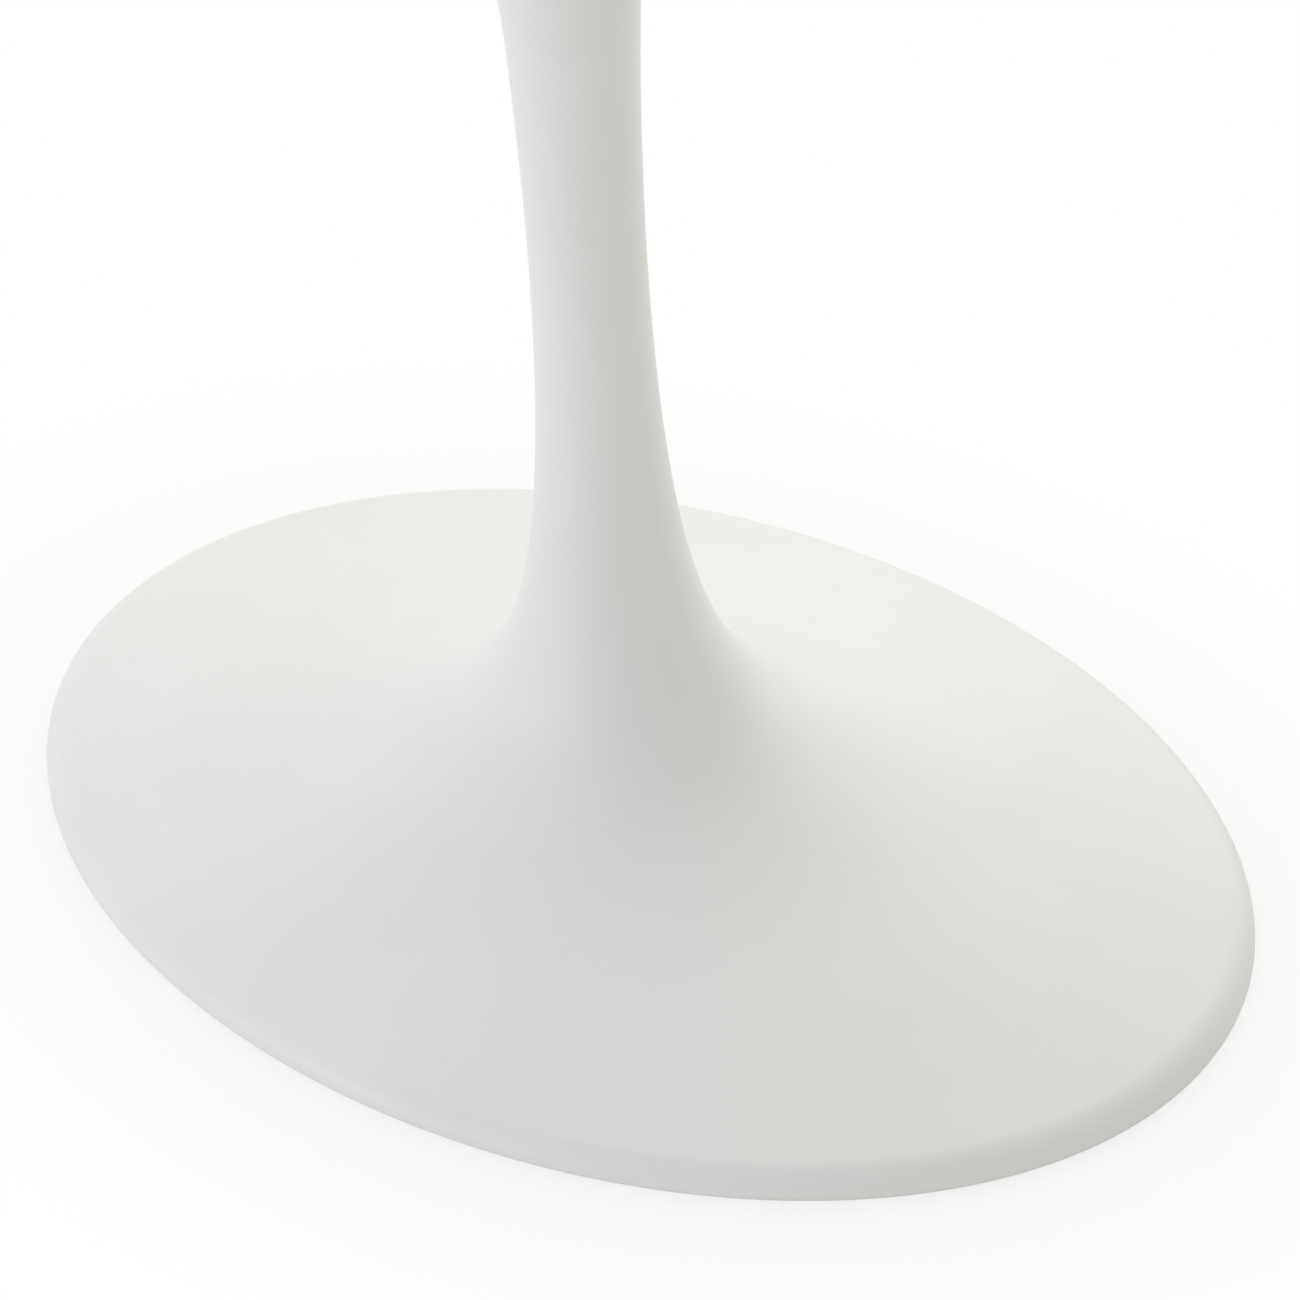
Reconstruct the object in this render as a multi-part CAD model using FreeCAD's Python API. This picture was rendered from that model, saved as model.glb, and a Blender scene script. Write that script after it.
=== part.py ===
"""Oval pedestal base for a dining table: a hollow casting tied to its top plate by a rod down the stem.

Millimetres, +Z up, origin on the floor under the stem, +X along the long axis of the foot.
"""
import FreeCAD, Part
import math
import os

from FreeCAD import Vector

# Overall sizes
base_height = 715.0
foot_length = 780.0
foot_width = 556.0

# Rim of the foot
rim_clearance = 2.0
rim_roll = 11.0
rim_under_round = 2.5
rim_width = 16.0
rim_blend = 0.07  # share of the way from the rim's corner back to the dish where the roll begins

# Control points of the skin's outline, from the foot up to the mouth; a span is a share of the way out
dish_span = 0.55
dish_height = 44.0
knee_span = 0.30
knee_height = 68.5
root_radius = 57.0
root_height = 106.0
lower_stem_radius = 30.8
lower_stem_height = 247.0
upper_stem_radius = 29.8
upper_stem_height = 478.0
throat_radius = 44.0
throat_drop = 75.0
mouth_radius = 98.0
mouth_lip = 4.0

# Casting walls and the hub that the rod pulls on
wall = 7.5
hub_margin = 2.0
hub_base = 34.0
hub_height = 56.0
rib_count = 8
rib_base = 6.0
rib_edge_width = 5.0
draft_angle = 2.0

# Seat for the top plate in the mouth
mouth_rim_width = 14.0
seat_ledge = 12.0
seat_ring_height = 12.0
seat_clearance = 0.3

# Top plate
plate_thickness = 8.0
plate_chamfer = 1.0
plate_boss_radius = 15.0
plate_boss_height = 14.0
screw_count = 8
screw_circle_radius = 56.0
screw_hole_radius = 3.25
screw_sink_radius = 6.5

# Tie rod and what tightens it
rod_radius = 6.0
rod_tip_drop = 2.0
rod_chamfer = 1.5
rod_projection = 5.0
bore_clearance = 0.5
thread_clearance = 0.15
washer_radius = 25.0
washer_thickness = 4.0
lock_washer_radius = 10.5
lock_washer_thickness = 3.0
lock_washer_gap = 1.5
lock_washer_slant = 30.0
nut_width = 18.0
nut_height = 10.8
nut_bevel_angle = 30.0

# Floor glides
glide_rim_gap = 1.5
glide_boss_radius = 14.0
glide_head_radius = 10.0
glide_head_height = 4.0
glide_chamfer = 1.0
glide_stem_radius = 4.0
glide_stem_height = 6.5
glide_stem_clearance = 0.15
glide_hole_spare = 0.5

half_length = foot_length / 2
half_width = foot_width / 2
rim_top = rim_clearance + rim_under_round + rim_roll
glide_inset = rim_width + glide_rim_gap + glide_head_radius
seat_height = base_height - plate_thickness
seat_radius = mouth_radius - mouth_rim_width
seat_bore_radius = seat_radius - seat_ledge
plate_radius = seat_radius - seat_clearance
hub_radius = washer_radius + hub_margin
hub_top = hub_base + hub_height
washer_base = hub_base - washer_thickness
lock_washer_base = washer_base - lock_washer_thickness
nut_base = lock_washer_base - nut_height
rod_base = nut_base - rod_projection
rod_top = base_height - rod_tip_drop
cut_overlap = 1.0  # how far a cutting solid runs past the face it opens

# A full ellipse as four rational arcs: corners of its control square, and their weights
SQUARE = [(1, 0), (1, 1), (0, 1), (-1, 1), (-1, 0), (-1, -1), (0, -1), (1, -1), (1, 0)]
CORNER_WEIGHT = math.sqrt(0.5)


def oval_face(rows, degree, bend_weight=1.0):
    """Face swept round an oval: each row is a control point (long half-axis, short half-axis, height)."""
    poles = [[Vector(x * long, y * short, z) for long, short, z in rows] for x, y in SQUARE]
    bend = [bend_weight if 0 < i < len(rows) - 1 else 1.0 for i in range(len(rows))]
    weights = [[(CORNER_WEIGHT if k % 2 else 1.0) * w for w in bend] for k in range(len(SQUARE))]
    spans = len(rows) - degree
    surface = Part.BSplineSurface()
    surface.buildFromPolesMultsKnots(
        poles,
        [3, 2, 2, 2, 3],
        [degree + 1] + [1] * (spans - 1) + [degree + 1],
        [0, 1, 2, 3, 4],
        list(range(spans + 1)),
        False,
        False,
        2,
        degree,
        weights,
    )
    return surface.toShape()


def closed_edges(shape):
    return [edge for edge in shape.Edges if edge.isClosed()]


def closed_solid(faces):
    """Solid bounded by a stack of oval faces and a flat face at each open end."""
    rings = [edge for face in faces for edge in closed_edges(face)]
    rings.sort(key=lambda edge: edge.BoundBox.ZMin)
    caps = [Part.Face(Part.Wire([end])) for end in (rings[0], rings[-1])]
    shell = Part.makeShell(faces + caps)
    shell.sewShape()
    return Part.makeSolid(shell)


def oval_row(span, height):
    """Control point that lies a share of the way from the stem out to the rim, on both axes."""
    long = lower_stem_radius + span * (half_length - lower_stem_radius)
    short = lower_stem_radius + span * (half_width - lower_stem_radius)
    return (long, short, height)


def round_row(radius, height):
    return (radius, radius, height)


def skin_rows():
    """Outline of the casting from the top of the rim, over the foot and up the stem to the mouth."""
    corner = oval_row(1.0, rim_top)
    dish = oval_row(dish_span, dish_height)
    edge = tuple(c + rim_blend * (d - c) for c, d in zip(corner, dish))
    return [
        edge,
        dish,
        oval_row(knee_span, knee_height),
        round_row(root_radius, root_height),
        round_row(lower_stem_radius, lower_stem_height),
        round_row(upper_stem_radius, upper_stem_height),
        round_row(throat_radius, base_height - throat_drop),
        round_row(mouth_radius, base_height - mouth_lip),
    ]


def inset_rows(rows):
    """The same outline one wall further in, square to the line through each point's neighbours."""
    inner = []
    for i, (long, short, z) in enumerate(rows):
        before = rows[max(i - 1, 0)]
        after = rows[min(i + 1, len(rows) - 1)]
        run = (after[0] + after[1] - before[0] - before[1]) / 2
        rise = after[2] - before[2]
        size = math.hypot(run, rise)
        inner.append((long - wall * rise / size, short - wall * rise / size, z + wall * run / size))
    return inner


def outer_casting():
    """Solid inside the painted skin: foot, flare and stem, with the rim rolled over and rounded under."""
    rows = skin_rows()
    corner = (half_length, half_width, rim_top)
    widest = (half_length, half_width, rim_top - rim_roll)
    lowest = (half_length, half_width, rim_clearance)
    land = (half_length - rim_under_round, half_width - rim_under_round, rim_clearance)
    return closed_solid([
        oval_face([rows[-1], round_row(mouth_radius, base_height)], 1),
        oval_face(rows, 3),
        oval_face([rows[0], corner, widest], 2, CORNER_WEIGHT),
        oval_face([widest, lowest, land], 2, CORNER_WEIGHT),
    ])


def hollow():
    """Core of the casting: one wall inside the skin, open below and up to the seat ring in the mouth."""
    rows = inset_rows(skin_rows())
    rim = (half_length - rim_width, half_width - rim_width)
    rows[0] = (*rim, rows[0][2])
    rows[-1] = round_row(seat_bore_radius, seat_height - seat_ring_height)
    return closed_solid([
        oval_face([(*rim, rim_clearance - cut_overlap), rows[0]], 1),
        oval_face(rows, 3),
    ])


def oval_point(inset, turn, height):
    """Point inside the rim by the inset, a turn of the ellipse's own angle from the long axis."""
    return Vector((half_length - inset) * math.cos(turn), (half_width - inset) * math.sin(turn), height)


def rib_turns():
    return [2 * math.pi * i / rib_count for i in range(rib_count)]


def rib(turn):
    """Drafted web from the axis out to the rim, thinnest along its lower edge."""
    reach = oval_point(0, turn, 0)
    height = hub_top - rib_base
    edge = rib_edge_width / 2
    root = edge + height * math.tan(math.radians(draft_angle))
    corners = [
        Vector(0, -edge, rib_base),
        Vector(0, edge, rib_base),
        Vector(0, root, hub_top),
        Vector(0, -root, hub_top),
    ]
    web = Part.Face(Part.makePolygon(corners + corners[:1])).extrude(Vector(reach.Length, 0, 0))
    web.rotate(Vector(0, 0, 0), Vector(0, 0, 1), math.degrees(math.atan2(reach.y, reach.x)))
    return web


def hub():
    spread = hub_height * math.tan(math.radians(draft_angle))
    return Part.makeCone(hub_radius, hub_radius + spread, hub_height, Vector(0, 0, hub_base))


def glide_boss(turn):
    return Part.makeCylinder(glide_boss_radius, rim_top, oval_point(glide_inset, turn, glide_head_height))


def glide_hole(turn):
    depth = glide_stem_height + glide_hole_spare
    centre = oval_point(glide_inset, turn, glide_head_height)
    return Part.makeCylinder(glide_stem_radius + glide_stem_clearance, depth, centre)


def pedestal():
    """Casting: the skin's solid less its core, with hub, ribs and glide bosses left standing in the core."""
    below_hub = Part.makeCylinder(hub_radius, hub_base, Vector(0, 0, 0))
    webs = Part.makeCompound([rib(turn).cut(below_hub) for turn in rib_turns()])
    bosses = Part.makeCompound([glide_boss(turn) for turn in rib_turns()])
    core = hollow().cut([hub(), webs, bosses])
    rod_bore = Part.makeCylinder(rod_radius + bore_clearance, hub_height, Vector(0, 0, hub_base))
    mouth_bore = Part.makeCylinder(
        seat_bore_radius, seat_ring_height, Vector(0, 0, seat_height - seat_ring_height)
    )
    plate_seat = Part.makeCylinder(
        seat_radius, plate_thickness + cut_overlap, Vector(0, 0, seat_height)
    )
    glide_holes = [glide_hole(turn) for turn in rib_turns()]
    return outer_casting().cut([core, rod_bore, mouth_bore, plate_seat] + glide_holes)


def top_plate():
    """Round plate with a boss for the rod below it and screw holes countersunk from below."""
    disc = Part.makeCylinder(plate_radius, plate_thickness, Vector(0, 0, seat_height))
    disc = disc.makeChamfer(plate_chamfer, closed_edges(disc))
    boss = Part.makeCylinder(
        plate_boss_radius, plate_boss_height, Vector(0, 0, seat_height - plate_boss_height)
    )
    thread = Part.makeCylinder(
        rod_radius + thread_clearance,
        plate_boss_height + plate_thickness,
        Vector(0, 0, seat_height - plate_boss_height),
    )
    holes = []
    for i in range(screw_count):
        turn = 2 * math.pi * (i + 0.5) / screw_count
        centre = Vector(
            screw_circle_radius * math.cos(turn), screw_circle_radius * math.sin(turn), seat_height
        )
        holes.append(Part.makeCylinder(screw_hole_radius, plate_thickness, centre))
        sink_depth = screw_sink_radius - screw_hole_radius
        holes.append(Part.makeCone(screw_sink_radius, screw_hole_radius, sink_depth, centre))
    return disc.fuse(boss).cut([thread] + holes).removeSplitter()


def tie_rod():
    rod = Part.makeCylinder(rod_radius, rod_top - rod_base, Vector(0, 0, rod_base))
    return rod.makeChamfer(rod_chamfer, closed_edges(rod))


def ring(outer_radius, height, base):
    """Flat ring that slips over the rod."""
    disc = Part.makeCylinder(outer_radius, height, Vector(0, 0, base))
    return disc.cut(Part.makeCylinder(rod_radius + thread_clearance, height, Vector(0, 0, base)))


def lock_washer():
    """Spring washer: a ring split by a slanting saw cut."""
    split = Part.makeBox(
        lock_washer_radius,
        lock_washer_gap,
        2 * lock_washer_thickness,
        Vector(0, -lock_washer_gap / 2, lock_washer_base - lock_washer_thickness / 2),
    )
    centre = Vector(0, 0, lock_washer_base + lock_washer_thickness / 2)
    split.rotate(centre, Vector(1, 0, 0), lock_washer_slant)
    return ring(lock_washer_radius, lock_washer_thickness, lock_washer_base).cut(split)


def rod_nut():
    """Hexagon nut with its corners bevelled top and bottom."""
    corner_radius = nut_width / 2 / math.cos(math.pi / 6)
    corners = [
        Vector(corner_radius * math.cos(i * math.pi / 3), corner_radius * math.sin(i * math.pi / 3), nut_base)
        for i in range(6)
    ]
    prism = Part.Face(Part.makePolygon(corners + corners[:1])).extrude(Vector(0, 0, nut_height))
    drop = (corner_radius - nut_width / 2) * math.tan(math.radians(nut_bevel_angle))
    blank = Part.makeCylinder(corner_radius, nut_height, Vector(0, 0, nut_base))
    turned = blank.makeChamfer(corner_radius - nut_width / 2, drop, closed_edges(blank))
    bore = Part.makeCylinder(rod_radius + thread_clearance, nut_height, Vector(0, 0, nut_base))
    return prism.common(turned).cut(bore)


def floor_glide(turn):
    """Plastic glide: a flat head that stands on the floor and a plug pressed up into the boss."""
    head = Part.makeCylinder(glide_head_radius, glide_head_height, oval_point(glide_inset, turn, 0))
    sole = min(closed_edges(head), key=lambda edge: edge.BoundBox.ZMin)
    head = head.makeChamfer(glide_chamfer, [sole])
    plug = Part.makeCylinder(
        glide_stem_radius, glide_stem_height, oval_point(glide_inset, turn, glide_head_height)
    )
    return head.fuse(plug)


def build():
    nodes = {
        "pedestal": pedestal(),
        "top_plate": top_plate(),
        "tie_rod": tie_rod(),
        "rod_washer": ring(washer_radius, washer_thickness, washer_base),
        "lock_washer": lock_washer(),
        "rod_nut": rod_nut(),
    }
    for number, turn in enumerate(rib_turns(), 1):
        nodes["floor_glide_%d" % number] = floor_glide(turn)
    os.makedirs("parts", exist_ok=True)
    for name, shape in nodes.items():
        shape.exportStep("parts/%s.step" % name)


build()
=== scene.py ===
"""Oval pedestal table base: a satin white casting with its zinc-plated plate, rod and floor glides.

Metres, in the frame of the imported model: +Z up along the stem, +X along the long axis of the foot.
"""
import math

import bmesh
import bpy
from mathutils import Matrix, Quaternion, Vector


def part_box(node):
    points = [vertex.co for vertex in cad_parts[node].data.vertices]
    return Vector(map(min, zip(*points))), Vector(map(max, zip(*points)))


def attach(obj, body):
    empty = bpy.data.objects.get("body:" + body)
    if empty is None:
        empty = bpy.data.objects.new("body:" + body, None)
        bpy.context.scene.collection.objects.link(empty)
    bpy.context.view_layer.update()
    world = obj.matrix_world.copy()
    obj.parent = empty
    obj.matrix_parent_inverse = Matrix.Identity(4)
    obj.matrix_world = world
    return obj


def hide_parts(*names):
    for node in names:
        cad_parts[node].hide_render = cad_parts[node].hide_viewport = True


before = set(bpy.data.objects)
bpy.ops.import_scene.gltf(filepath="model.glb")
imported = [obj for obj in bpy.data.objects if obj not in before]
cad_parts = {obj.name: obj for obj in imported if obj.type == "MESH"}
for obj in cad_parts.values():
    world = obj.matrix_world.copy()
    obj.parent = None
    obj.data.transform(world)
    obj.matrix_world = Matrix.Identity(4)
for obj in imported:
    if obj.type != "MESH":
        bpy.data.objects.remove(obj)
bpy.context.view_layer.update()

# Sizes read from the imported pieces
rounding = 1e-6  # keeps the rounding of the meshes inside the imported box
casting_low, casting_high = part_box("pedestal")
washer_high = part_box("rod_washer")[1]
rod_low, rod_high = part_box("tie_rod")
half_length = min(-casting_low.x, casting_high.x) - rounding
half_width = min(-casting_low.y, casting_high.y) - rounding
rim_clearance = casting_low.z
base_height = casting_high.z
hub_base = washer_high.z
rod_radius = min(rod_high.x, rod_high.y)

# Rim of the foot; a blend is the share of the way from its corner to the dish where the roll begins
rim_roll = 0.011
rim_under_round = 0.0025
rim_width = 0.016
rim_blend = 0.07
rim_soft_blend = 0.10  # for the painted side, where the roll begins more softly
rim_top = rim_clearance + rim_under_round + rim_roll

# Control points of the skin's outline, from the foot up to the mouth; a span is a share of the way out
dish_span = 0.55
dish_height = 0.044
knee_span = 0.30
knee_height = 0.0685
root_radius = 0.057
root_height = 0.106
lower_stem_radius = 0.0308
lower_stem_height = 0.247
upper_stem_radius = 0.0298
upper_stem_height = 0.478
throat_radius = 0.044
throat_drop = 0.075
mouth_radius = 0.098
mouth_lip = 0.004

# Walls, hub and ribs of the casting
wall = 0.0075
hub_margin = 0.002
hub_height = 0.056
hub_ease = 0.0015
bore_clearance = 0.0005
hub_radius = washer_high.x + hub_margin
hub_bore_radius = rod_radius + bore_clearance
hub_top = hub_base + hub_height
rib_base = 0.006
rib_edge_width = 0.005
rib_top_step = 0.0005
draft = math.tan(math.radians(2.0))

# Seat for the plate in the mouth
plate_thickness = 0.008
mouth_rim_width = 0.014
seat_ledge = 0.012
seat_ring_height = 0.012
seat_height = base_height - plate_thickness
seat_radius = mouth_radius - mouth_rim_width
seat_bore_radius = seat_radius - seat_ledge

# Corners of the section that are eased by hand
lip_ease = 0.0012
seat_ease = 0.0008
land_ease = 0.0015

# Bosses for the glides
glide_count = 8
glide_boss_radius = 0.014
glide_boss_base = 0.004
glide_boss_rise = 0.002  # past the rim's top corner, so that a boss ends inside the wall
glide_boss_top = rim_top + glide_boss_rise
glide_hole_radius = 0.00415
glide_hole_depth = 0.007

# Thread on both ends of the rod; the shares are of its pitch
thread_length = 0.055
thread_pitch = 0.00175
thread_depth = 0.00095
thread_root_share = 1 / 4
thread_crest_start = 9 / 16
thread_crest_end = 11 / 16
thread_spare_turns = 2
thread_runout = 0.0018
rod_end_chamfer = 0.0015
shank_relief = 0.0002

# Fineness of the meshes
spin_steps = 208
skin_steps = 16
core_steps = 7
arc_steps = 5
ease_steps = 2
small_spin_steps = 64
thread_steps = 28
floor_steps = 96
crease_angle = math.radians(35.0)
weld_distance = 1e-6

# Camera
camera_azimuth = math.radians(42.076)
camera_elevation = math.radians(36.091)
camera_roll = math.radians(-3.591)
camera_distance = 2.229
camera_aim = Vector((0.0003, 0.0291, 0.1000))
camera_lens = 108.44
camera_sensor = 36.0

# Studio walls, ceiling and floor
wall_tint = (1.0, 1.0, 0.975, 1.0)
pale_wall_azimuth = math.radians(255.0)
pale_wall_glow = 1.07
dark_wall_glow = 0.63
ceiling_start = math.sin(math.radians(55.0))
ceiling_end = math.sin(math.radians(80.0))
ceiling_share = 0.3
floor_radius = 14.0
floor_drop = 0.0002
floor_dark = (0.91, 0.885, 0.85, 1.0)
floor_light = (0.94, 0.915, 0.88, 1.0)
floor_glow_share = 0.8
floor_fade_start = 1.0  # both as multiples of the foot's oval
floor_fade_end = 1.6

WHITE = (1.0, 1.0, 1.0, 1.0)
SKIN_ORDER = 4
ARC_ORDER = 3
ARC_WEIGHT = math.sqrt(0.5)  # middle weight that makes a three-point curve a quarter of an ellipse


# Shader helpers and shared effects

def add_node(tree, kind, inputs, **settings):
    """New node with its settings, its plain values and its links in one call."""
    node = tree.nodes.new(kind)
    for name, value in settings.items():
        setattr(node, name, value)
    for name, value in inputs.items():
        if isinstance(value, bpy.types.NodeSocket):
            tree.links.new(value, node.inputs[name])
        else:
            node.inputs[name].default_value = value
    return node


def new_group(name, inputs, outputs):
    """Empty shader group with named sockets; returns it with its input and output nodes."""
    group = bpy.data.node_groups.new(name, "ShaderNodeTree")
    for socket, kind in inputs:
        group.interface.new_socket(socket, in_out="INPUT", socket_type="NodeSocket" + kind)
    for socket, kind in outputs:
        group.interface.new_socket(socket, in_out="OUTPUT", socket_type="NodeSocket" + kind)
    return group, group.nodes.new("NodeGroupInput"), group.nodes.new("NodeGroupOutput")


def tone_drift_group():
    """Slow cloudy change between two tones, with the mask that makes it."""
    group, given, result = new_group(
        "tone_drift",
        [("Vector", "Vector"), ("Scale", "Float"), ("Dark", "Color"), ("Light", "Color")],
        [("Color", "Color"), ("Mask", "Float")],
    )
    cloud = add_node(
        group, "ShaderNodeTexNoise",
        {
            "Vector": given.outputs["Vector"],
            "Scale": given.outputs["Scale"],
            "Detail": 4.0,
            "Roughness": 0.55,
        },
    )
    mask = add_node(
        group, "ShaderNodeMapRange",
        {"Value": cloud.outputs["Fac"], "From Min": 0.3, "From Max": 0.7},
        interpolation_type="SMOOTHSTEP",
    )
    tone = add_node(group, "ShaderNodeMix", {"Factor": mask.outputs["Result"]}, data_type="RGBA")
    group.links.new(given.outputs["Dark"], tone.inputs["A"])
    group.links.new(given.outputs["Light"], tone.inputs["B"])
    group.links.new(tone.outputs["Result"], result.inputs["Color"])
    group.links.new(mask.outputs["Result"], result.inputs["Mask"])
    return group


def pebble_group():
    """Fine skin of two sizes of bump, such as orange peel, sand-cast grain or moulded texture."""
    group, given, result = new_group(
        "pebble",
        [
            ("Vector", "Vector"),
            ("Coarse Scale", "Float"),
            ("Fine Scale", "Float"),
            ("Fine Share", "Float"),
        ],
        [("Height", "Float")],
    )
    coarse = add_node(
        group, "ShaderNodeTexNoise",
        {"Vector": given.outputs["Vector"], "Scale": given.outputs["Coarse Scale"], "Detail": 1.0},
    )
    fine = add_node(
        group, "ShaderNodeTexNoise",
        {"Vector": given.outputs["Vector"], "Scale": given.outputs["Fine Scale"], "Detail": 2.0},
    )
    height = add_node(
        group, "ShaderNodeMix",
        {"Factor": given.outputs["Fine Share"], "A": coarse.outputs["Fac"], "B": fine.outputs["Fac"]},
        data_type="FLOAT",
    )
    group.links.new(height.outputs["Result"], result.inputs["Height"])
    return group


def turned_rings_group():
    """Fine concentric tool marks round the stem's axis."""
    group, given, result = new_group(
        "turned_rings",
        [("Vector", "Vector"), ("Rings Per Metre", "Float")],
        [("Height", "Float")],
    )
    flat = add_node(
        group, "ShaderNodeVectorMath",
        {0: given.outputs["Vector"], 1: (1.0, 1.0, 0.0)},
        operation="MULTIPLY",
    )
    radius = add_node(group, "ShaderNodeVectorMath", {0: flat.outputs["Vector"]}, operation="LENGTH")
    ring = add_node(
        group, "ShaderNodeMath",
        {0: radius.outputs["Value"], 1: given.outputs["Rings Per Metre"]},
        operation="MULTIPLY",
    )
    marks = add_node(
        group, "ShaderNodeTexNoise",
        {"W": ring.outputs["Value"], "Scale": 1.0, "Detail": 2.0},
        noise_dimensions="1D",
    )
    group.links.new(marks.outputs["Fac"], result.inputs["Height"])
    return group


TONE_DRIFT = tone_drift_group()
PEBBLE = pebble_group()
TURNED_RINGS = turned_rings_group()


# Camera, light and floor

def direction(azimuth, elevation):
    """Unit vector from the object towards a camera or a light."""
    level = math.cos(elevation)
    return Vector((math.sin(azimuth) * level, -math.cos(azimuth) * level, math.sin(elevation)))


def place_camera():
    """Camera that looks down on the foot, tipped a little to one side, with plain colours."""
    back = direction(camera_azimuth, camera_elevation)
    data = bpy.data.cameras.new("portrait_camera")
    data.sensor_width = camera_sensor
    data.lens = camera_lens
    camera = bpy.data.objects.new("portrait_camera", data)
    camera.location = camera_aim + back * camera_distance
    camera.rotation_mode = "QUATERNION"
    level_turn = (-back).to_track_quat("-Z", "Y")
    camera.rotation_quaternion = level_turn @ Quaternion((0, 0, 1), camera_roll)
    bpy.context.scene.collection.objects.link(camera)
    bpy.context.scene.camera = camera
    bpy.context.scene.view_settings.view_transform = "Standard"


def add_softbox(name, azimuth, elevation, distance, width, height, power, tint):
    """Large lamp that faces the foot of the object, placed by angles in degrees."""
    towards = direction(math.radians(azimuth), math.radians(elevation))
    data = bpy.data.lights.new(name, "AREA")
    data.shape = "RECTANGLE"
    data.size = width
    data.size_y = height
    data.energy = power
    data.color = tint
    lamp = bpy.data.objects.new(name, data)
    lamp.location = towards * distance
    lamp.rotation_mode = "QUATERNION"
    lamp.rotation_quaternion = (-towards).to_track_quat("-Z", "Y")
    bpy.context.scene.collection.objects.link(lamp)


def light_studio():
    """Soft lamps behind the object and on its left, as the camera sees it."""
    add_softbox(
        "back_softbox", azimuth=192, elevation=30, distance=2.6,
        width=2.6, height=2.2, power=16.7, tint=(0.96, 0.94, 1.0),
    )
    add_softbox(
        "back_high_softbox", azimuth=205, elevation=56, distance=2.5,
        width=2.4, height=1.0, power=4.4, tint=(1.0, 0.80, 0.55),
    )
    add_softbox(
        "left_high_softbox", azimuth=285, elevation=52, distance=2.5,
        width=2.4, height=1.2, power=2.4, tint=(0.60, 0.92, 1.0),
    )
    add_softbox(
        "left_low_softbox", azimuth=338, elevation=10, distance=2.5,
        width=2.4, height=0.8, power=9.8, tint=(0.74, 0.76, 1.0),
    )


def paint_walls():
    """Walls pale on one side and dim on the other, under a dim ceiling, but plain white to the camera."""
    world = bpy.data.worlds.new("studio_walls")
    world.use_nodes = True
    bpy.context.scene.world = world
    tree = world.node_tree
    heading = tree.nodes.new("ShaderNodeTexCoord").outputs["Generated"]
    rise = add_node(tree, "ShaderNodeSeparateXYZ", {"Vector": heading}).outputs["Z"]
    side = add_node(
        tree, "ShaderNodeVectorMath",
        {0: heading, 1: direction(pale_wall_azimuth, 0.0)},
        operation="DOT_PRODUCT",
    )
    glow = add_node(
        tree, "ShaderNodeMapRange",
        {
            "Value": side.outputs["Value"],
            "From Min": -1.0,
            "To Min": dark_wall_glow,
            "To Max": pale_wall_glow,
        },
        interpolation_type="SMOOTHSTEP",
    )
    cover = add_node(
        tree, "ShaderNodeMapRange",
        {
            "Value": rise,
            "From Min": ceiling_start,
            "From Max": ceiling_end,
            "To Min": 1.0,
            "To Max": ceiling_share,
        },
        interpolation_type="SMOOTHSTEP",
    )
    strength = add_node(
        tree, "ShaderNodeMath",
        {0: glow.outputs["Result"], 1: cover.outputs["Result"]},
        operation="MULTIPLY",
    )
    walls = tree.nodes["Background"]
    walls.inputs["Color"].default_value = wall_tint
    tree.links.new(strength.outputs["Value"], walls.inputs["Strength"])
    seen = add_node(tree, "ShaderNodeBackground", {"Color": WHITE})
    rays = tree.nodes.new("ShaderNodeLightPath").outputs["Is Camera Ray"]
    mix = add_node(
        tree, "ShaderNodeMixShader",
        {0: rays, 1: walls.outputs["Background"], 2: seen.outputs["Background"]},
    )
    tree.links.new(mix.outputs["Shader"], tree.nodes["World Output"].inputs["Surface"])


def pale_floor():
    """Matt floor that glows white to the camera, fully so away from the foot."""
    material = bpy.data.materials.new("pale_floor")
    material.use_nodes = True
    tree = material.node_tree
    tree.nodes.remove(tree.nodes["Principled BSDF"])
    place = tree.nodes.new("ShaderNodeTexCoord").outputs["Object"]
    mottle = add_node(tree, "ShaderNodeTexNoise", {"Vector": place, "Scale": 1.5, "Detail": 3.0})
    shade = add_node(tree, "ShaderNodeMix", {"Factor": mottle.outputs["Fac"]}, data_type="RGBA")
    shade.inputs["A"].default_value = floor_dark
    shade.inputs["B"].default_value = floor_light
    matt = add_node(tree, "ShaderNodeBsdfDiffuse", {"Color": shade.outputs["Result"]})
    glow = add_node(tree, "ShaderNodeEmission", {"Color": WHITE, "Strength": 1.0})
    oval = add_node(
        tree, "ShaderNodeVectorMath",
        {0: place, 1: (1 / half_length, 1 / half_width, 0.0)},
        operation="MULTIPLY",
    )
    reach = add_node(tree, "ShaderNodeVectorMath", {0: oval.outputs["Vector"]}, operation="LENGTH")
    fade = add_node(
        tree, "ShaderNodeMapRange",
        {
            "Value": reach.outputs["Value"],
            "From Min": floor_fade_start,
            "From Max": floor_fade_end,
            "To Min": floor_glow_share,
        },
        interpolation_type="SMOOTHSTEP",
    )
    rays = tree.nodes.new("ShaderNodeLightPath").outputs["Is Camera Ray"]
    share = add_node(tree, "ShaderNodeMath", {0: rays, 1: fade.outputs["Result"]}, operation="MULTIPLY")
    mix = add_node(
        tree, "ShaderNodeMixShader",
        {0: share.outputs["Value"], 1: matt.outputs["BSDF"], 2: glow.outputs["Emission"]},
    )
    tree.links.new(mix.outputs["Shader"], tree.nodes["Material Output"].inputs["Surface"])
    return material


def lay_floor():
    """Round studio floor just under the glides."""
    bm = bmesh.new()
    bmesh.ops.create_circle(bm, cap_ends=True, segments=floor_steps, radius=floor_radius)
    bmesh.ops.translate(bm, verts=bm.verts, vec=(0, 0, -floor_drop))
    bench_piece("studio_floor", bm, [pale_floor()])


# Finishes

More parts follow.
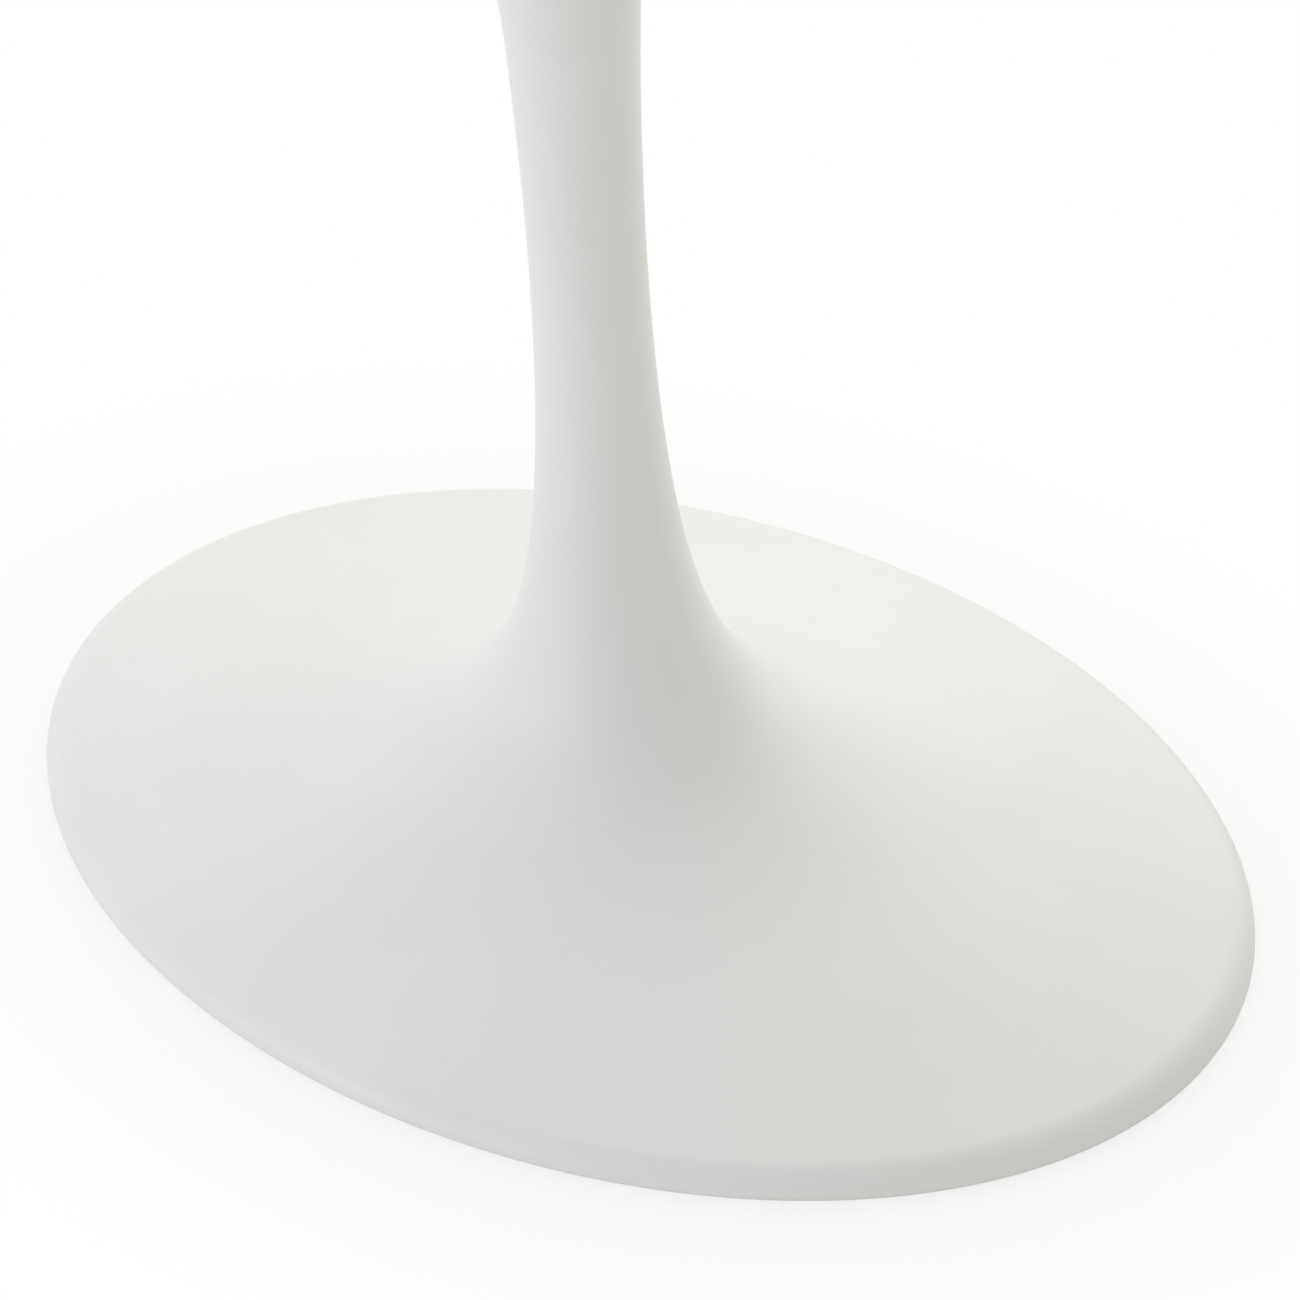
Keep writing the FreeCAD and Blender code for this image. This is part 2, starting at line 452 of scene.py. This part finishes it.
def new_finish(name):
    """Empty material; returns it with its tree, its shader and the object's own coordinates."""
    material = bpy.data.materials.new(name)
    material.use_nodes = True
    tree = material.node_tree
    place = tree.nodes.new("ShaderNodeTexCoord").outputs["Object"]
    return material, tree, tree.nodes["Principled BSDF"], place


def add_group(tree, group, inputs):
    """Shared effect placed in a material with its own values."""
    return add_node(tree, "ShaderNodeGroup", inputs, node_tree=group)


def set_tone(tree, shader, place, scale, dark, light, smooth, rough):
    """Base colour between two tones, with the roughness drifting the same way."""
    drift = add_group(tree, TONE_DRIFT, {"Vector": place, "Scale": scale, "Dark": dark, "Light": light})
    tree.links.new(drift.outputs["Color"], shader.inputs["Base Color"])
    gloss = add_node(
        tree, "ShaderNodeMapRange",
        {"Value": drift.outputs["Mask"], "To Min": rough, "To Max": smooth},
    )
    tree.links.new(gloss.outputs["Result"], shader.inputs["Roughness"])


def set_bump(tree, shader, height, depth, strength):
    """Relief of the surface from a height that changes over it."""
    bump = add_node(tree, "ShaderNodeBump", {"Height": height, "Distance": depth, "Strength": strength})
    tree.links.new(bump.outputs["Normal"], shader.inputs["Normal"])


def set_pebbles(tree, shader, place, coarse, fine, fine_share, depth, strength):
    """Relief of coarse and fine grains, by how many there are to a metre."""
    skin = add_group(
        tree, PEBBLE,
        {"Vector": place, "Coarse Scale": coarse, "Fine Scale": fine, "Fine Share": fine_share},
    )
    set_bump(tree, shader, skin.outputs["Height"], depth, strength)


def satin_paint():
    """White satin lacquer over the filed casting, with the faintest orange peel."""
    material, tree, shader, place = new_finish("satin_white_paint")
    set_tone(
        tree, shader, place, scale=7.0,
        dark=(0.795, 0.793, 0.785, 1), light=(0.815, 0.814, 0.808, 1), smooth=0.38, rough=0.43,
    )
    set_pebbles(
        tree, shader, place, coarse=420.0, fine=1300.0, fine_share=0.3, depth=0.00003, strength=0.35
    )
    return material


def cast_underside():
    """Thin white coat over sand-cast metal, on the faces that are never filed."""
    material, tree, shader, place = new_finish("cast_underside_paint")
    set_tone(
        tree, shader, place, scale=24.0,
        dark=(0.66, 0.655, 0.64, 1), light=(0.75, 0.75, 0.74, 1), smooth=0.55, rough=0.72,
    )
    set_pebbles(
        tree, shader, place, coarse=260.0, fine=1100.0, fine_share=0.55, depth=0.0006, strength=0.7
    )
    return material


def glide_plastic():
    """Grey moulded plastic with a fine spark-eroded grain."""
    material, tree, shader, place = new_finish("grey_glide_plastic")
    set_tone(
        tree, shader, place, scale=120.0,
        dark=(0.40, 0.395, 0.385, 1), light=(0.47, 0.465, 0.455, 1), smooth=0.46, rough=0.58,
    )
    set_pebbles(
        tree, shader, place, coarse=900.0, fine=2600.0, fine_share=0.5, depth=0.00006, strength=0.5
    )
    return material


def turned_steel(name, dark, light, smooth, rough, rings, depth):
    """Plated steel with tool marks round the rod's axis."""
    material, tree, shader, place = new_finish(name)
    shader.inputs["Metallic"].default_value = 1.0
    set_tone(tree, shader, place, scale=90.0, dark=dark, light=light, smooth=smooth, rough=rough)
    marks = add_group(tree, TURNED_RINGS, {"Vector": place, "Rings Per Metre": rings})
    set_bump(tree, shader, marks.outputs["Height"], depth, strength=0.5)
    return material


def bright_zinc():
    """Bright plating on the rod, its nut and its wide washer."""
    return turned_steel(
        "bright_zinc", dark=(0.56, 0.57, 0.60, 1), light=(0.66, 0.67, 0.68, 1),
        smooth=0.24, rough=0.36, rings=3200.0, depth=0.00004,
    )


def dull_zinc():
    """Duller plating on the plate, with coarser tool marks."""
    return turned_steel(
        "dull_zinc_plate", dark=(0.50, 0.51, 0.53, 1), light=(0.60, 0.61, 0.62, 1),
        smooth=0.32, rough=0.46, rings=1500.0, depth=0.00006,
    )


def spring_steel():
    """Blackened steel of the lock washer."""
    return turned_steel(
        "black_spring_steel", dark=(0.10, 0.10, 0.105, 1), light=(0.16, 0.16, 0.165, 1),
        smooth=0.34, rough=0.48, rings=2600.0, depth=0.00005,
    )


# Outline of the casting: every row is (long half-axis, short half-axis, height)

def oval_row(span, height):
    """Row that lies a share of the way from the stem out to the rim, on both axes."""
    long = lower_stem_radius + span * (half_length - lower_stem_radius)
    short = lower_stem_radius + span * (half_width - lower_stem_radius)
    return Vector((long, short, height))


def round_row(radius, height):
    """Row that is a plain circle, as on the stem."""
    return Vector((radius, radius, height))


def rim_row(inset, height):
    """Row that lies inside the rim by the same inset on both axes."""
    return Vector((half_length - inset, half_width - inset, height))


def skin_rows(blend):
    """Control rows from where the rim's roll begins, over the foot and up the stem to the mouth."""
    corner = oval_row(1.0, rim_top)
    dish = oval_row(dish_span, dish_height)
    return [
        corner.lerp(dish, blend),
        dish,
        oval_row(knee_span, knee_height),
        round_row(root_radius, root_height),
        round_row(lower_stem_radius, lower_stem_height),
        round_row(upper_stem_radius, upper_stem_height),
        round_row(throat_radius, base_height - throat_drop),
        round_row(mouth_radius, base_height - mouth_lip),
    ]


def inset_rows(rows, depth):
    """The same rows further in, square to the line through each row's neighbours."""
    inner = []
    for i, row in enumerate(rows):
        chord = rows[min(i + 1, len(rows) - 1)] - rows[max(i - 1, 0)]
        run = (chord.x + chord.y) / 2
        size = math.hypot(run, chord.z)
        across = depth * chord.z / size
        inner.append(row + Vector((-across, -across, depth * run / size)))
    return inner


def stroke(rows, order, steps, bend_weight=1.0):
    """Points along one NURBS curve that has these rows as its control points."""
    curve = bpy.data.curves.new("stroke", "CURVE")
    curve.dimensions = "3D"
    spline = curve.splines.new("NURBS")
    spline.points.add(len(rows) - 1)
    for i, row in enumerate(rows):
        weight = bend_weight if 0 < i < len(rows) - 1 else 1.0
        spline.points[i].co = (*row, weight)
    spline.order_u = order
    spline.use_endpoint_u = True
    spline.resolution_u = steps
    holder = bpy.data.objects.new("stroke", curve)
    line = bpy.data.meshes.new_from_object(holder)
    points = [vert.co.copy() for vert in line.vertices]
    bpy.data.meshes.remove(line)
    bpy.data.objects.remove(holder)
    bpy.data.curves.remove(curve)
    return points


def arc(start, corner, end, steps):
    """Quarter of an ellipse from start to end that touches both lines through the corner."""
    return stroke([start, corner, end], ARC_ORDER, steps, ARC_WEIGHT)


def eased(before, corner, after, radius):
    """A sharp corner of a section as a small arc that starts a radius away from it on both sides."""
    ends = []
    for other in (before, after):
        run = other - corner
        ends.append(corner + run * (radius / math.hypot((run.x + run.y) / 2, run.z)))
    return arc(ends[0], corner, ends[1], ease_steps)


def outer_section():
    """Painted side of the section: under the rim, round its roll and over the skin to the mouth."""
    rows = skin_rows(rim_soft_blend)
    land = rim_row(rim_under_round, rim_clearance)
    widest = rim_row(0, rim_clearance + rim_under_round)
    lip = round_row(mouth_radius, base_height)
    seat_edge = round_row(seat_radius, base_height)
    return (
        arc(land, rim_row(0, rim_clearance), widest, arc_steps)
        + arc(widest, rim_row(0, rim_top), rows[0], 2 * arc_steps)
        + stroke(rows, SKIN_ORDER, skin_steps)
        + eased(rows[-1], lip, seat_edge, lip_ease)
    )


def inner_section():
    """Bare side of the section: the plate's seat, down the core and along the rim's inner wall."""
    rows = inset_rows(skin_rows(rim_blend), wall)
    rows[0] = rim_row(rim_width, rows[0].z)
    rows[-1] = round_row(seat_bore_radius, seat_height - seat_ring_height)
    lip = round_row(mouth_radius, base_height)
    seat_edge = round_row(seat_radius, base_height)
    seat_corner = round_row(seat_radius, seat_height)
    ledge_edge = round_row(seat_bore_radius, seat_height)
    land_edge = rim_row(rim_width, rim_clearance)
    land = rim_row(rim_under_round, rim_clearance)
    return (
        eased(lip, seat_edge, seat_corner, seat_ease)
        + [seat_corner]
        + eased(seat_corner, ledge_edge, rows[-1], seat_ease)
        + stroke(rows[::-1], SKIN_ORDER, core_steps)
        + eased(rows[0], land_edge, land, land_ease)
    )


# Bench work on meshes

def spin_section(bm, ring, steps):
    """Closes a section's points into a loop and spins it once round the stem's axis."""
    edges = [bm.edges.new((ring[i - 1], ring[i])) for i in range(len(ring))]
    bmesh.ops.spin(
        bm, geom=ring + edges, cent=(0, 0, 0), axis=(0, 0, 1), dvec=(0, 0, 0),
        angle=2 * math.pi, steps=steps, use_merge=True,
    )


def spun_oval(outer, inner, steps):
    """Closed shell of a section that is spun round the stem, each row narrowed to its own oval."""
    bm = bmesh.new()
    narrow = bm.verts.layers.float.new("narrow")
    bare = bm.verts.layers.float.new("bare")
    ring = []
    for rows, is_bare in ((outer, 0.0), (inner, 1.0)):
        for row in rows:
            vert = bm.verts.new((row.x, 0, row.z))
            vert[narrow] = row.y / row.x
            vert[bare] = is_bare
            ring.append(vert)
    spin_section(bm, ring, steps)
    for vert in bm.verts:
        vert.co.y *= vert[narrow]
    bmesh.ops.remove_doubles(bm, verts=bm.verts, dist=weld_distance)
    for face in bm.faces:
        face.material_index = int(min(vert[bare] for vert in face.verts))
    bmesh.ops.recalc_face_normals(bm, faces=bm.faces)
    return bm


def spun_ring(section, steps):
    """Closed ring round the stem's axis from a closed section of (radius, height) corners."""
    bm = bmesh.new()
    ring = [bm.verts.new((radius, 0, height)) for radius, height in section]
    spin_section(bm, ring, steps)
    bmesh.ops.recalc_face_normals(bm, faces=bm.faces)
    return bm


def drum_mesh(radius, base, top, centre):
    """Upright round bar on a centre."""
    bm = bmesh.new()
    bmesh.ops.create_cone(
        bm, cap_ends=True, segments=small_spin_steps, radius1=radius, radius2=radius, depth=top - base,
        matrix=Matrix.Translation((centre.x, centre.y, (base + top) / 2)),
    )
    return bm


def bench_piece(name, bm, materials):
    """Scene object made from a finished bmesh."""
    mesh = bpy.data.meshes.new(name)
    bm.to_mesh(mesh)
    bm.free()
    for material in materials:
        mesh.materials.append(material)
    piece = bpy.data.objects.new(name, mesh)
    bpy.context.scene.collection.objects.link(piece)
    return piece


def bare_pieces(name, shapes, materials):
    """Scene objects from finished bmeshes, all in the second material, the casting's bare side."""
    for bm in shapes:
        for face in bm.faces:
            face.material_index = 1
    return [bench_piece(name, bm, materials) for bm in shapes]


def weld(mesh):
    """Joins points that lie on each other and clears the slivers between them."""
    bm = bmesh.new()
    bm.from_mesh(mesh)
    bmesh.ops.remove_doubles(bm, verts=bm.verts, dist=weld_distance)
    bmesh.ops.dissolve_degenerate(bm, dist=weld_distance, edges=bm.edges)
    bm.to_mesh(mesh)
    bm.free()


def combine(piece, tools, operation):
    """Unites the tools with a piece, or cuts them out of it, and clears the tools away."""
    shelf = bpy.data.collections.new("shelf")
    for tool in tools:
        shelf.objects.link(tool)
    step = piece.modifiers.new("combine", "BOOLEAN")
    step.operation = operation
    step.operand_type = "COLLECTION"
    step.collection = shelf
    step.solver = "EXACT"
    depsgraph = bpy.context.evaluated_depsgraph_get()
    made = bpy.data.meshes.new_from_object(piece.evaluated_get(depsgraph))
    piece.modifiers.clear()
    weld(made)
    piece.data = made
    for tool in tools:
        bpy.data.objects.remove(tool)
    bpy.data.collections.remove(shelf)


def smooth_faces(piece):
    """Soft shading over curves, with creases kept at real corners."""
    mesh = piece.data
    mesh.polygons.foreach_set("use_smooth", [True] * len(mesh.polygons))
    mesh.set_sharp_from_angle(angle=crease_angle)


# Casting

def hub_mesh():
    """Drum that the rod passes through, drafted so that it leaves its mould."""
    return spun_ring(
        [
            (hub_bore_radius, hub_base),
            (hub_radius - hub_ease, hub_base),
            (hub_radius, hub_base + hub_ease),
            (hub_radius + draft * (hub_top - hub_base), hub_top),
            (hub_bore_radius, hub_top),
        ],
        small_spin_steps,
    )


def rib_side(heading):
    """Side outline of a rib, as (distance from the axis, height), out to the middle of the wall."""
    rows = inset_rows(skin_rows(rim_blend), wall / 2)
    rows[0] = rim_row(rim_width / 2, rows[0].z)
    rib_top = hub_top - rib_top_step
    wall_line = []
    for long, short, height in stroke(rows, SKIN_ORDER, core_steps):
        reach = 1 / math.hypot(math.cos(heading) / long, math.sin(heading) / short)
        wall_line.append((reach, min(height, rib_top)))
        if height > rib_top:
            break
    return (
        [(hub_radius, hub_base + hub_ease), (hub_radius, rib_base), (wall_line[0][0], rib_base)]
        + wall_line
        + [(hub_radius / 2, rib_top), (hub_radius / 2, hub_base + hub_ease)]
    )


def rib_mesh(turn):
    """Web from the hub out to the rim, drafted so that it is thinnest along its lower edge."""
    heading = math.atan2(half_width * math.sin(turn), half_length * math.cos(turn))
    bm = bmesh.new()
    near = bm.faces.new([bm.verts.new((reach, 0, height)) for reach, height in rib_side(heading)])
    pulled = bmesh.ops.extrude_face_region(bm, geom=[near])["geom"]
    far = {item for item in pulled if isinstance(item, bmesh.types.BMVert)}
    for vert in bm.verts:
        half_thickness = rib_edge_width / 2 + draft * (vert.co.z - rib_base)
        vert.co.y = half_thickness if vert in far else -half_thickness
    bmesh.ops.rotate(bm, verts=bm.verts, cent=(0, 0, 0), matrix=Matrix.Rotation(heading, 3, "Z"))
    bmesh.ops.recalc_face_normals(bm, faces=bm.faces)
    return bm


def glide_node(i):
    """Name of a packed glide, counted from nought."""
    return "floor_glide_%d" % (i + 1)


def glide_centre(i):
    """Middle of a packed glide."""
    low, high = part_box(glide_node(i))
    return (low + high) / 2


def make_pedestal():
    """The casting: painted skin outside, hub, ribs and glide bosses standing in its hollow."""
    materials = [satin_paint(), cast_underside()]
    turns = [2 * math.pi * i / glide_count for i in range(glide_count)]
    centres = [glide_centre(i) for i in range(glide_count)]
    skin = spun_oval(outer_section(), inner_section(), spin_steps)
    piece = bench_piece("painted_pedestal", skin, materials)
    inside = [hub_mesh()]
    for turn in turns:
        inside.append(rib_mesh(turn))
    for centre in centres:
        inside.append(drum_mesh(glide_boss_radius, glide_boss_base, glide_boss_top, centre))
    combine(piece, bare_pieces("inside", inside, materials), "UNION")
    hole_top = glide_boss_base + glide_hole_depth
    holes = [drum_mesh(glide_hole_radius, 0, hole_top, centre) for centre in centres]
    combine(piece, bare_pieces("hole", holes, materials), "DIFFERENCE")
    smooth_faces(piece)
    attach(piece, "root")
    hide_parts("pedestal")


# Rod

def thread_mesh(base, top, free_end):
    """Length of screw thread between two heights, chamfered at its free end."""
    root = rod_radius - thread_depth
    ridge = [
        (root, 0),
        (root, thread_pitch * thread_root_share),
        (rod_radius, thread_pitch * thread_crest_start),
        (rod_radius, thread_pitch * thread_crest_end),
        (root, thread_pitch),
    ]
    turns = math.ceil((top - base) / thread_pitch) + thread_spare_turns
    bm = bmesh.new()
    line = [bm.verts.new((radius, 0, base - thread_pitch + rise)) for radius, rise in ridge]
    edges = [bm.edges.new(pair) for pair in zip(line, line[1:])]
    bmesh.ops.spin(
        bm, geom=line + edges, cent=(0, 0, 0), axis=(0, 0, 1), dvec=(0, 0, thread_pitch / thread_steps),
        angle=2 * math.pi * turns, steps=turns * thread_steps,
    )
    bmesh.ops.remove_doubles(bm, verts=bm.verts, dist=weld_distance)
    for height, side in ((base, -1), (top, 1)):
        bmesh.ops.bisect_plane(
            bm, geom=bm.verts[:] + bm.edges[:] + bm.faces[:],
            plane_co=(0, 0, height), plane_no=(0, 0, side), clear_outer=True,
        )
    bmesh.ops.holes_fill(bm, edges=[edge for edge in bm.edges if edge.is_boundary])
    for vert in bm.verts:
        limit = rod_radius - rod_end_chamfer + abs(vert.co.z - free_end)
        radius = vert.co.xy.length
        if radius > limit:
            vert.co.xy *= limit / radius
    bmesh.ops.recalc_face_normals(bm, faces=bm.faces)
    return bm


def make_rod(material):
    """Tie rod: plain shank with a rolled thread on both ends."""
    lower_end = rod_low.z + thread_length
    upper_end = rod_high.z - thread_length
    shank_radius = rod_radius - shank_relief
    shank = drum_mesh(shank_radius, lower_end - thread_runout, upper_end + thread_runout, Vector())
    piece = bench_piece("threaded_rod", shank, [material])
    threads = [
        thread_mesh(rod_low.z, lower_end, rod_low.z),
        thread_mesh(upper_end, rod_high.z, rod_high.z),
    ]
    combine(piece, [bench_piece("thread", bm, [material]) for bm in threads], "UNION")
    smooth_faces(piece)
    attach(piece, "root")
    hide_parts("tie_rod")


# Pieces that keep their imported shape

def refinish(node, material):
    """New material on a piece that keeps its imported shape."""
    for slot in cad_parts[node].material_slots:
        slot.material = material


def finish_fittings(zinc):
    """Plate, washers, nut and glides in their own finishes."""
    refinish("top_plate", dull_zinc())
    refinish("rod_washer", zinc)
    refinish("rod_nut", zinc)
    refinish("lock_washer", spring_steel())
    plastic = glide_plastic()
    for i in range(glide_count):
        refinish(glide_node(i), plastic)


def main():
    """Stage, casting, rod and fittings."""
    place_camera()
    lay_floor()
    light_studio()
    paint_walls()
    make_pedestal()
    zinc = bright_zinc()
    make_rod(zinc)
    finish_fittings(zinc)


main()
